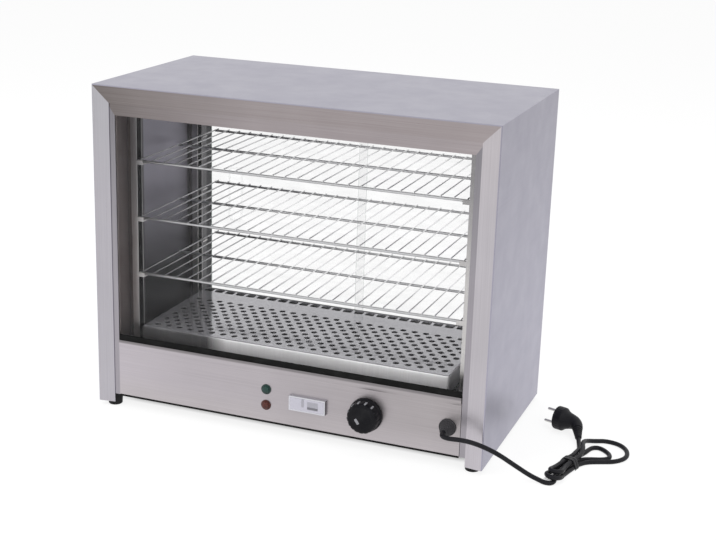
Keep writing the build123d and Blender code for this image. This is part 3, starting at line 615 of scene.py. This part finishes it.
for k in range(1, 6):
    turn = math.radians(90 * min(k, 4) / 4)
    grow = EDGE_R * math.sin(turn)
    drop = EDGE_R * (1 - math.cos(turn)) if k < 5 else tray_high.z - tray_low.z
    row = [bm.verts.new((x, y, tray_high.z - drop)) for x, y in tray_outline(EDGE_R - grow, CORNER_R + grow)]
    for i in range(len(row)):
        j = (i + 1) % len(row)
        side = bm.faces.new((previous[i], previous[j], row[j], row[i]))
        # the lower part of the rolled edge takes the tray side steel, with its painted reflection and painted shade
        side.material_index = 1 if k > 2 else 0
    previous = row
tray = new_piece("perforated_tray", bm, [tray_steel, tray_side], "tray", 50)
for polygon in tray.data.polygons:
    polygon.use_smooth = abs(polygon.normal.z) < 0.99
thick = tray.modifiers.new("sheet", "SOLIDIFY")
thick.thickness = SHEET
thick.offset = -1.0
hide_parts("floor_tray")

# ---- thermostat knob: skirt, fluted grip with a dished face, a mark on the face and ticks round the grip
knob_low, knob_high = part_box("thermostat_knob")
knob_mid = (knob_low + knob_high) / 2
knob_place = axes((knob_mid.x, knob_high.y, knob_mid.z), (0, -1, 0))
KNOB_PROFILE = [
    (0.0, 25.3), (0.5, 25.9), (3.0, 26.0), (3.8, 25.6), (4.2, 25.0), (4.5, 24.6), (5.2, 24.4), (9.0, 24.2),
    (14.0, 23.9), (17.6, 23.5), (19.4, 22.7), (20.5, 21.2), (21.0, 19.4), (20.9, 18.2), (20.3, 16.6), (20.0, 13.0),
    (19.9, 7.0), (19.9, 0.0),
]
FLUTED = range(6, 12)
FLUTES = 18
FLUTE_DEPTH = 0.035
MARK_TURN = 215
TICKS = 7
TICK_TURN = 27


def flutes(ring, angle):
    """Rounded hollows round the grip."""
    if ring not in FLUTED:
        return 1.0
    return 1.0 - FLUTE_DEPTH * max(0.0, math.cos(FLUTES * angle)) ** 2


bm = bmesh.new()
lathe(bm, knob_place, in_metres(KNOB_PROFILE), 112, flutes)
knob = new_piece("knob_grip", bm, black_plastic, "knob", 42)
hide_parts("thermostat_knob")
bm = bmesh.new()
mark_place = knob_place @ Matrix.Rotation(math.radians(MARK_TURN), 4, "Z")
mark = rounded_loop((6.4 * MM, -4.6 * MM), (10.6 * MM, 4.6 * MM), 1.0 * MM)
stack(bm, [[(x, y, h * MM) for x, y in mark] for h in (19.4, 20.25)]
      + [[(8.5 * MM + (x - 8.5 * MM) * 0.9, y * 0.95, 20.4 * MM) for x, y in mark]], mark_place)
tick = rounded_loop((-1.5 * MM, 9.0 * MM), (1.5 * MM, 18.0 * MM), 1.0 * MM)
for k in range(TICKS):
    tick_place = knob_place @ Matrix.Rotation(math.radians(MARK_TURN - TICK_TURN * k), 4, "Z")
    stack(bm, [[(r * MM, side, h) for side, h in tick] for r in (22.0, 24.2)]
          + [[(24.4 * MM, side * 0.85, 13.5 * MM + (h - 13.5 * MM) * 0.95) for side, h in tick]], tick_place)
new_piece("knob_pointer", bm, mark_paint, "knob")

# ---- lamps: flanged lenses with a domed front
LAMP_PROFILE = [
    (-12.0, 5.9), (0.0, 5.9), (0.0, 7.6), (0.35, 8.0), (1.1, 8.0), (1.5, 7.6), (1.6, 6.3), (3.6, 5.9), (4.9, 5.1),
    (5.6, 3.9), (5.95, 2.2), (6.0, 0.0),
]
for name, material, slot in (("green_lamp", green_lens, "green_lens"), ("red_lamp", red_lens, "red_lens")):
    low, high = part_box(name)
    place = axes(((low.x + high.x) / 2, low.y + 6 * MM, (low.z + high.z) / 2), (0, -1, 0))
    bm = bmesh.new()
    lathe(bm, place, in_metres(LAMP_PROFILE), 32)
    lamp = new_piece(name + "_lens", bm, material, "case")
    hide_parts(name)

# ---- folded hem along the panel's top, the seal's bead on the glass above it and a black strip along the panel's lower edge
HEM_X = 280.6 * MM
hem_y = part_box("control_panel")[0].y
for name, material, slot, profile in (
    ("panel_hem", hem_steel, "panel_steel", [
        (0.0, 103.0), (-0.9, 103.2), (-1.2, 103.8), (-1.2, 113.3), (-1.0, 113.9), (-0.5, 114.3), (0.3, 114.3),
        (0.3, 103.0),
    ]),
    ("glass_bead", seal_rubber, "black_rubber", [
        (0.5, 113.6), (0.3, 115.0), (0.2, 118.0), (0.5, 121.0), (1.2, 122.8), (2.0, 123.4), (2.35, 123.4),
        (2.35, 113.6),
    ]),
    # a black rubber strip under the panel's lower edge, which makes the dark line there
    ("panel_edge_strip", seal_rubber, "black_rubber", [
        (0.8, 20.2), (-0.2, 20.4), (-0.7, 21.0), (-0.7, 22.9), (-0.4, 23.4), (0.3, 23.5), (1.2, 23.4), (1.9, 22.9),
        (1.9, 21.0), (1.5, 20.4),
    ]),
):
    bm = bmesh.new()
    stack(bm, [[(x, hem_y + y * MM, z * MM) for y, z in profile] for x in (-HEM_X, 0.0, HEM_X)])
    new_piece(name, bm, material, "case")

# ---- bare plate: bevelled rim round a face with blank fields
low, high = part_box("name_plate")
bm = bmesh.new()
plate_loops = []
for inset, depth in in_metres(((0.0, 0.0), (0.0, 4.6), (0.4, 5.5), (1.1, 6.0), (1.9, 6.0), (2.4, 5.5))):
    loop = rounded_loop((low.x + inset, low.z + inset), (high.x - inset, high.z - inset), 1.5 * MM)
    plate_loops.append([(x, high.y - depth, z) for x, z in loop])
stack(bm, plate_loops, close_top=False)
stack(bm, [plate_loops[-1], [(x, y + 0.01 * MM, z) for x, y, z in plate_loops[-1]]], close_bottom=False, paint=1)
for x0, z0, x1, z1, paint in ((31, 8.5, 48, 18.5, 2), (31, 6.5, 48, 10.2, 3), (21.5, 8.5, 25.5, 21, 2)):
    field = rounded_loop((low.x + x0 * MM, low.z + z0 * MM), (low.x + x1 * MM, low.z + z1 * MM), 0.8 * MM)
    height = 5.5 + 0.12 * paint
    stack(bm, [[(x, high.y - depth * MM, z) for x, z in field] for depth in (5.3, height)], paint=paint)
plate = new_piece("bare_plate", bm, [plate_metal, plate_face, plate_field, plate_bar], "case")
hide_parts("name_plate")

# ---- cord gland: flange and ribbed bend relief
low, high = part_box("cord_gland")
gland_mid = (low + high) / 2
GLAND_L = 21.0
gland_place = axes((gland_mid.x, low.y + GLAND_L * MM, gland_mid.z), (0, -1, 0))
profile = [(-12.0, 7.9), (0.0, 7.9), (0.0, 12.5), (0.5, 13.0), (2.4, 13.0), (3.0, 12.4), (3.2, 11.2)]
for k in range(4):
    base = 3.8 + k * 4.0
    wide = 11.0 - k * 1.25
    profile += [(base, wide), (base + 1.9, wide - 0.4), (base + 2.3, wide - 1.4), (base + 3.3, wide - 1.6)]
profile += [(19.8, 5.9), (20.6, 5.4), (21.0, 4.4)]
bm = bmesh.new()
lathe(bm, gland_place, in_metres(profile), 32)
gland = new_piece("gland_boot", bm, gland_rubber, "case")
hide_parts("cord_gland")

# ---- feet: rubber, with a recess and a screw in each
low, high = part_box("feet")
FOOT_R = 12.0 * MM
FOOT_RECESS = 12 * MM
FOOT_PROFILE = [
    (12.0, 0.0), (12.0, 5.9), (0.7, 6.0), (0.0, 6.7), (0.0, 10.4), (0.8, 11.0), (5.0, 11.25), (21.4, 12.0),
    (22.0, 11.6), (22.0, 0.0),
]
bm = bmesh.new()
screws = bmesh.new()
for x in (low.x + FOOT_R, high.x - FOOT_R):
    for y in (low.y + FOOT_R, high.y - FOOT_R):
        lathe(bm, Matrix.Translation((x, y, 0)), in_metres(FOOT_PROFILE), 40)
        screw_head(screws, axes((x, y, FOOT_RECESS), (0, 0, -1)), 4.5 * MM, 3 * MM)
feet = new_piece("rubber_feet", bm, rubber, "case")
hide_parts("feet")
new_piece("foot_screws", screws, screw_metal, "case")

# ---- screws of the rear panel and of the rear flanges
low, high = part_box("rear_lower_panel")
bm = bmesh.new()
for x in (-270, -90, 90, 270):
    for z in (22, 84):
        screw_head(bm, axes((x * MM, high.y, z * MM), (0, 1, 0)), 3.6 * MM, 2.0 * MM)
new_piece("rear_screws", bm, screw_metal, "case")

# ---- plug: gripped head, neck that bends into a ribbed boot, two round pins
PLUG_FACE = Vector((376.0, 64.0, 18.6)) * MM
PLUG_ELBOW = Vector((410.0, 54.2, 18.2)) * MM
PLUG_EXIT = Vector((420.7, 20.3, 8.0)) * MM
PLUG_BEND = 11 * MM
BEND_L = 20 * MM
PIN_AXIS = (0.21, 0.45, 0.87)


def plug_line(distance):
    """Point and direction of the plug's middle line, counted from its face."""
    inward = (PLUG_ELBOW - PLUG_FACE).normalized()
    outward = (PLUG_EXIT - PLUG_ELBOW).normalized()
    straight = (PLUG_ELBOW - PLUG_FACE).length - PLUG_BEND
    if distance <= straight:
        return PLUG_FACE + inward * distance, inward
    if distance >= straight + BEND_L:
        return PLUG_ELBOW + outward * (PLUG_BEND + distance - straight - BEND_L), outward
    t = (distance - straight) / BEND_L
    start = PLUG_ELBOW - inward * PLUG_BEND * (1 - t)
    end = PLUG_ELBOW + outward * PLUG_BEND * t
    return start.lerp(end, t), (end - start).normalized()


PLUG_PROFILE = [
    # face and ridged head
    (0.4, 14.6), (0.0, 15.0), (0.0, 17.0), (0.4, 17.9), (1.4, 18.4), (2.6, 18.4), (11.6, 18.4), (12.8, 18.3),
    # neck round the bend
    (14.0, 17.6), (15.2, 16.6), (16.6, 15.5), (18.4, 14.4), (20.4, 13.6), (22.6, 12.9), (25.0, 12.2), (28.0, 11.5),
    (31.0, 10.9), (34.0, 10.3), (37.0, 9.7), (40.0, 9.2), (43.0, 8.7), (46.0, 8.3), (48.0, 8.0),
    # ribbed boot
    (48.4, 6.8), (49.6, 6.7), (50.0, 7.5), (52.4, 7.2), (52.8, 6.2), (54.0, 6.1), (54.4, 6.9), (56.8, 6.6),
    (57.2, 5.7), (58.4, 5.6), (58.8, 6.3), (61.2, 6.0), (61.6, 5.3), (62.8, 5.2), (63.2, 5.7), (68.6, 5.1),
    (69.8, 4.6), (70.2, 3.9),
]
RIDGED = (5, 6)
RIDGES = 26
RIDGE_DEPTH = 0.025
PLUG_SIDES = 104
bm = bmesh.new()
plug_rings = []
for i, (distance, radius) in enumerate(PLUG_PROFILE):
    spot, along = plug_line(distance * MM)
    place = axes(spot, along, PIN_AXIS)
    ring = []
    for k in range(PLUG_SIDES):
        angle = 2 * math.pi * k / PLUG_SIDES
        r = radius * (1.0 - RIDGE_DEPTH * (0.5 + 0.5 * math.cos(RIDGES * angle)) if i in RIDGED else 1.0)
        ring.append(place @ Vector((r * MM * math.cos(angle), r * MM * math.sin(angle), 0)))
    plug_rings.append(ring)
stack(bm, plug_rings)
plug = new_piece("plug_shell", bm, cord_sheath, "case", 40)
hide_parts("plug_body")
PIN_SPACING = 19 * MM
PIN_PROFILE = [
    (-1.5, 3.2), (0.2, 3.2), (0.5, 2.9), (0.5, 2.3), (16.0, 2.3), (17.8, 2.1), (18.7, 1.5), (19.0, 0.7), (19.0, 0.0),
]
pin_place = axes(PLUG_FACE, PLUG_FACE - PLUG_ELBOW, PIN_AXIS)
bm = bmesh.new()
for side in (-1, 1):
    place = pin_place @ Matrix.Translation((side * PIN_SPACING / 2, 0, 0))
    lathe(bm, place, in_metres(PIN_PROFILE), 24)
pins = new_piece("plug_pin_pair", bm, pin_metal, "case")
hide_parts("plug_pins")

# ---- tie round the hank: two flat bands side by side over the strands
HANK_FRONT = Vector((410.0, -138.1, 0)) * MM
HANK_ALONG = Vector((0.2453, 0.9694, 0)).normalized()
HANK_ACROSS = Vector((0.9694, -0.2453, 0)).normalized()
TIE_LINE = [
    (-13.6, 0.2), (-14.3, 2.0), (-14.1, 5.0), (-13.0, 8.0), (-11.2, 11.2), (-9.4, 14.0), (-7.0, 15.7), (-3.6, 16.0),
    (0.0, 15.8), (3.6, 16.0), (7.0, 15.7), (9.4, 14.0), (11.0, 11.2), (12.7, 8.0), (13.8, 5.0), (14.0, 2.0),
    (13.3, 0.2),
]
bm = bmesh.new()
for start, end in ((64.0, 69.0), (70.0, 75.0)):
    rows = []
    for across, height in TIE_LINE:
        scale = 1 - 1.0 / math.hypot(across, height + 4)
        row = []
        for along, factor in ((start + 0.5, 1.0), (end - 0.5, 1.0), (end, 0.985), (end - 0.5, scale),
                              (start + 0.5, scale), (start, 0.985)):
            spot = HANK_FRONT + HANK_ALONG * (along * MM) + HANK_ACROSS * (across * factor * MM)
            row.append(bm.verts.new(spot + Vector((0, 0, height * factor * MM))))
        rows.append(row)
    for low_row, high_row in zip(rows, rows[1:]):
        for k in range(6):
            m = (k + 1) % 6
            bm.faces.new((low_row[k], low_row[m], high_row[m], high_row[k]))
    bm.faces.new(rows[0])
    bm.faces.new(rows[-1])
tie = new_piece("hank_tie", bm, tie_plastic, "case", 50)
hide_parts("cord_tie")

# ---- the cord itself
cord_curve.materials.append(cord_sheath)
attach(cord, "case")
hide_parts("power_cord", "cord_hank", "cord_tail")


# ---- studio: white surroundings, pale floor that keeps the shadow, soft lamps
def seen_directly(tree):
    """1 for rays from the camera, from gloss and through glass, else 0."""
    rays = put(tree, "ShaderNodeLightPath")
    first = put(tree, "ShaderNodeMath", {0: rays.outputs["Is Camera Ray"], 1: rays.outputs["Is Glossy Ray"]},
                operation="MAXIMUM")
    return put(tree, "ShaderNodeMath", {0: first.outputs[0], 1: rays.outputs["Is Transmission Ray"]},
               operation="MAXIMUM").outputs[0]


AMBIENT = 0.85
world = bpy.data.worlds.new("studio")
scene.world = world
world.use_nodes = True
tree = world.node_tree
tree.nodes.clear()
soft = put(tree, "ShaderNodeBackground", {"Color": rgba((1, 1, 1)), "Strength": AMBIENT})
white = put(tree, "ShaderNodeBackground", {"Color": rgba((1, 1, 1)), "Strength": 1.0})
mixed = put(tree, "ShaderNodeMixShader", {0: seen_directly(tree), 1: soft.outputs[0], 2: white.outputs[0]})
put(tree, "ShaderNodeOutputWorld", {"Surface": mixed.outputs[0]})

FLOOR_WHITE = 0.85
FLOOR_HALF = 8.0
floor_material = bpy.data.materials.new("floor")
floor_material.use_nodes = True
tree = floor_material.node_tree
tree.nodes.clear()
matt = put(tree, "ShaderNodeBsdfDiffuse", {"Color": rgba((0.9, 0.9, 0.9))})
glow = put(tree, "ShaderNodeEmission", {"Color": rgba((1, 1, 1)), "Strength": 1.0})
share = put(tree, "ShaderNodeMath", {0: seen_directly(tree), 1: FLOOR_WHITE}, operation="MULTIPLY").outputs[0]
# the floor's glow fades out under the case and between the strands of the hank, where no light reaches
parts = put(tree, "ShaderNodeSeparateXYZ", {"Vector": object_coords(tree)})
under = 1.0
for axis, outside, inside in (("X", -0.31, -0.27), ("X", 0.31, 0.27), ("Y", -0.122, -0.1), ("Y", 0.16, 0.12)):
    near = spread(tree, parts.outputs[axis], outside, inside, 0.0, 1.0)
    under = put(tree, "ShaderNodeMath", {0: near, 1: under}, operation="MULTIPLY").outputs[0]
from_hank = put(tree, "ShaderNodeVectorMath", {0: object_coords(tree), 1: HANK_FRONT},
                operation="SUBTRACT").outputs[0]
under_hank = 1.0
for direction, outside, inside in (
    (HANK_ALONG, 0.004, 0.007), (HANK_ALONG, 0.075, 0.07),
    (HANK_ACROSS, -0.0125, -0.011), (HANK_ACROSS, 0.009, 0.007),
):
    reach = put(tree, "ShaderNodeVectorMath", {0: from_hank, 1: direction}, operation="DOT_PRODUCT").outputs["Value"]
    near = spread(tree, reach, outside, inside, 0.0, 1.0)
    under_hank = put(tree, "ShaderNodeMath", {0: near, 1: under_hank}, operation="MULTIPLY").outputs[0]
under = put(tree, "ShaderNodeMath", {0: under, 1: under_hank}, operation="MAXIMUM").outputs[0]
share = put(tree, "ShaderNodeMath", {0: share, 1: spread(tree, under, 0.0, 1.0, 1.0, 0.1)}, operation="MULTIPLY")
mixed = put(tree, "ShaderNodeMixShader", {0: share.outputs[0], 1: matt.outputs[0], 2: glow.outputs[0]})
put(tree, "ShaderNodeOutputMaterial", {"Surface": mixed.outputs[0]})
bm = bmesh.new()
bmesh.ops.create_grid(bm, x_segments=2, y_segments=2, size=FLOOR_HALF)
floor_mesh = bpy.data.meshes.new("floor")
bm.to_mesh(floor_mesh)
bm.free()
floor_mesh.materials.append(floor_material)
floor = bpy.data.objects.new("floor", floor_mesh)
scene.collection.objects.link(floor)
floor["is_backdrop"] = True

LAMP_AIM = Vector((0, 0, 0.25))
for name, spot, size, power in (
    ("key", (-1.3, -1.9, 2.3), 1.6, 50.0), ("fill", (1.9, -1.4, 1.7), 1.4, 20.0), ("top", (0.1, 0.4, 2.6), 2.2, 40.0),
):
    lamp_data = bpy.data.lights.new(name, "AREA")
    lamp_data.size = size
    lamp_data.energy = power
    lamp = bpy.data.objects.new(name, lamp_data)
    scene.collection.objects.link(lamp)
    lamp.location = spot
    lamp.visible_glossy = False
    lamp.rotation_euler = (LAMP_AIM - Vector(spot)).to_track_quat("-Z", "Y").to_euler()

scene.view_settings.view_transform = "Standard"

low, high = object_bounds()
